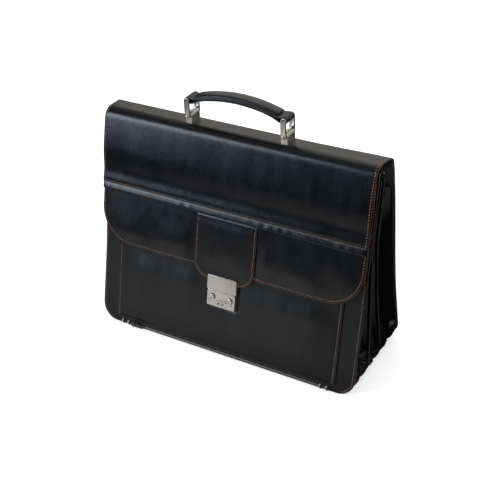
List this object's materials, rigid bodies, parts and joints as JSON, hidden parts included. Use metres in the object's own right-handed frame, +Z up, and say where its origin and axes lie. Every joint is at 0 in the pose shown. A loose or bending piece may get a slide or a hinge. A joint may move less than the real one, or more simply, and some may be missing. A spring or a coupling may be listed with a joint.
{
  "type": "leather briefcase",
  "caption": "Soft-sided leather briefcase with accordion compartments, a front flap closed by a press lock, and a padded top handle on swinging shackles.",
  "frame": {"origin": "centre of the bounding box at the level of the surface the bag stands on", "axes": "+X across the width to the wearer's right when facing the flap, -Y out of the front, +Z up"},
  "size_m": [0.4, 0.1605, 0.3593],
  "materials": {
    "smooth_black_leather": "semi-gloss",
    "front_leather": "satin",
    "gusset_leather": "semi-gloss",
    "divider_leather": "satin",
    "strap_leather": "satin",
    "brushed_nickel": "fine brushed",
    "bright_nickel": "polished",
    "zip_metal": "satin",
    "zip_cloth": "woven",
    "plain_steel": "satin",
    "fibre_board": "matte",
    "stitching_thread": "twisted",
    "lining_cloth": "woven"
  },
  "bodies": {
    "case": {"back_panel": "smooth_black_leather", "front_panel": "front_leather", "front_pocket_panel": "front_leather", "front_top_binding": "front_leather", "divider_front": "divider_leather", "divider_rear": "divider_leather", "gusset_front_left": "gusset_leather", "gusset_front_base": "gusset_leather", "gusset_front_right": "gusset_leather", "gusset_middle_left": "gusset_leather", "gusset_middle_base": "gusset_leather", "gusset_middle_right": "gusset_leather", "gusset_rear_left": "gusset_leather", "gusset_rear_base": "gusset_leather", "gusset_rear_right": "gusset_leather", "rear_flap_overlap": "smooth_black_leather", "zip_tape": "zip_cloth", "zip_chain": "zip_metal", "zip_end_stops": "bright_nickel", "lock_housing": "brushed_nickel", "lock_backing_plate": "plain_steel", "lock_rivets": "plain_steel", "lock_springs": "plain_steel", "strap_tab_left": "strap_leather", "strap_tab_right": "strap_leather", "strap_tab_rivets": "bright_nickel"},
    "zip_slider": {"zip_slider": "bright_nickel"},
    "zip_pull": {"zip_pull": "bright_nickel"},
    "lock_button_left": {"lock_button_left": "bright_nickel"},
    "lock_button_right": {"lock_button_right": "bright_nickel"},
    "lock_catch_left": {"lock_catch_left": "plain_steel"},
    "lock_catch_right": {"lock_catch_right": "plain_steel"},
    "d_ring_left": {"d_ring_left": "bright_nickel"},
    "d_ring_right": {"d_ring_right": "bright_nickel"},
    "flap_top": {"flap_top_strip": "smooth_black_leather", "top_stiffener": "fibre_board", "handle_base_left": "brushed_nickel", "handle_base_right": "brushed_nickel", "handle_base_screws": "plain_steel", "handle_backing_plates": "plain_steel", "shackle_pins": "bright_nickel"},
    "flap_front": {"flap_upper_panel": "smooth_black_leather", "flap_lower_panel": "smooth_black_leather", "fold_band": "smooth_black_leather", "lock_tab": "smooth_black_leather", "hasp_plate": "brushed_nickel", "hasp_staple": "plain_steel", "hasp_rivets": "plain_steel"},
    "shackle_left": {"shackle_left": "brushed_nickel"},
    "shackle_right": {"shackle_right": "brushed_nickel"},
    "handle": {"handle_strap": "strap_leather", "handle_grip": "smooth_black_leather"}
  },
  "joints": [
    {"name": "flap_lift", "type": "hinge", "parent": "case", "child": "flap_top", "pos_m": [0, 0.01605, 0.3081], "axis": [-1, 0, 0], "range_deg": [0, 110]},
    {"name": "flap_fold", "type": "hinge", "parent": "flap_top", "child": "flap_front", "pos_m": [0, -0.01603, 0.3081], "axis": [-1, 0, 0], "range_deg": [0, 95]},
    {"name": "shackle_left_swing", "type": "hinge", "parent": "flap_top", "child": "shackle_left", "pos_m": [-0.07, 0.00001, 0.3205], "axis": [0, 1, 0], "range_deg": [-65, 65]},
    {"name": "handle_swing", "type": "hinge", "parent": "shackle_left", "child": "handle", "pos_m": [-0.07, 0.00001, 0.3423], "axis": [0, 1, 0], "range_deg": [-65, 65]},
    {"name": "shackle_right_swing", "type": "hinge", "parent": "flap_top", "child": "shackle_right", "pos_m": [0.07, 0.00001, 0.3205], "axis": [0, 1, 0], "range_deg": [-65, 65]},
    {"name": "lock_button_left_press", "type": "slide", "parent": "case", "child": "lock_button_left", "axis": [0, 0.9786, -0.2058], "range_m": [0, 0.001], "stiffness_N_per_m": 600, "springref_m": -0.001},
    {"name": "lock_button_right_press", "type": "slide", "parent": "case", "child": "lock_button_right", "axis": [0, 0.9786, -0.2058], "range_m": [0, 0.001], "stiffness_N_per_m": 600, "springref_m": -0.001},
    {"name": "lock_catch_left_slide", "type": "slide", "parent": "case", "child": "lock_catch_left", "axis": [-1, 0, 0], "range_m": [0, 0.001]},
    {"name": "lock_catch_right_slide", "type": "slide", "parent": "case", "child": "lock_catch_right", "axis": [1, 0, 0], "range_m": [0, 0.001]},
    {"name": "zip_slide", "type": "slide", "parent": "case", "child": "zip_slider", "axis": [1, 0, 0], "range_m": [0, 0.286]},
    {"name": "zip_pull_swing", "type": "hinge", "parent": "zip_slider", "child": "zip_pull", "pos_m": [-0.143, -0.07907, 0.00586], "axis": [0, -0.2058, -0.9786], "range_deg": [0, 160]},
    {"name": "d_ring_left_swing", "type": "hinge", "parent": "case", "child": "d_ring_left", "pos_m": [-0.187, 0.01279, 0.28906], "axis": [1, 0, 0], "range_deg": [-35, 15]},
    {"name": "d_ring_right_swing", "type": "hinge", "parent": "case", "child": "d_ring_right", "pos_m": [0.187, 0.01279, 0.28906], "axis": [1, 0, 0], "range_deg": [-35, 15]}
  ],
  "couplings": [
    {"joint": "handle_swing", "follows": "shackle_left_swing", "ratio": -1},
    {"joint": "shackle_right_swing", "follows": "shackle_left_swing", "ratio": 1},
    {"joint": "lock_catch_left_slide", "follows": "lock_button_left_press", "ratio": 1},
    {"joint": "lock_catch_right_slide", "follows": "lock_button_right_press", "ratio": 1}
  ]
}
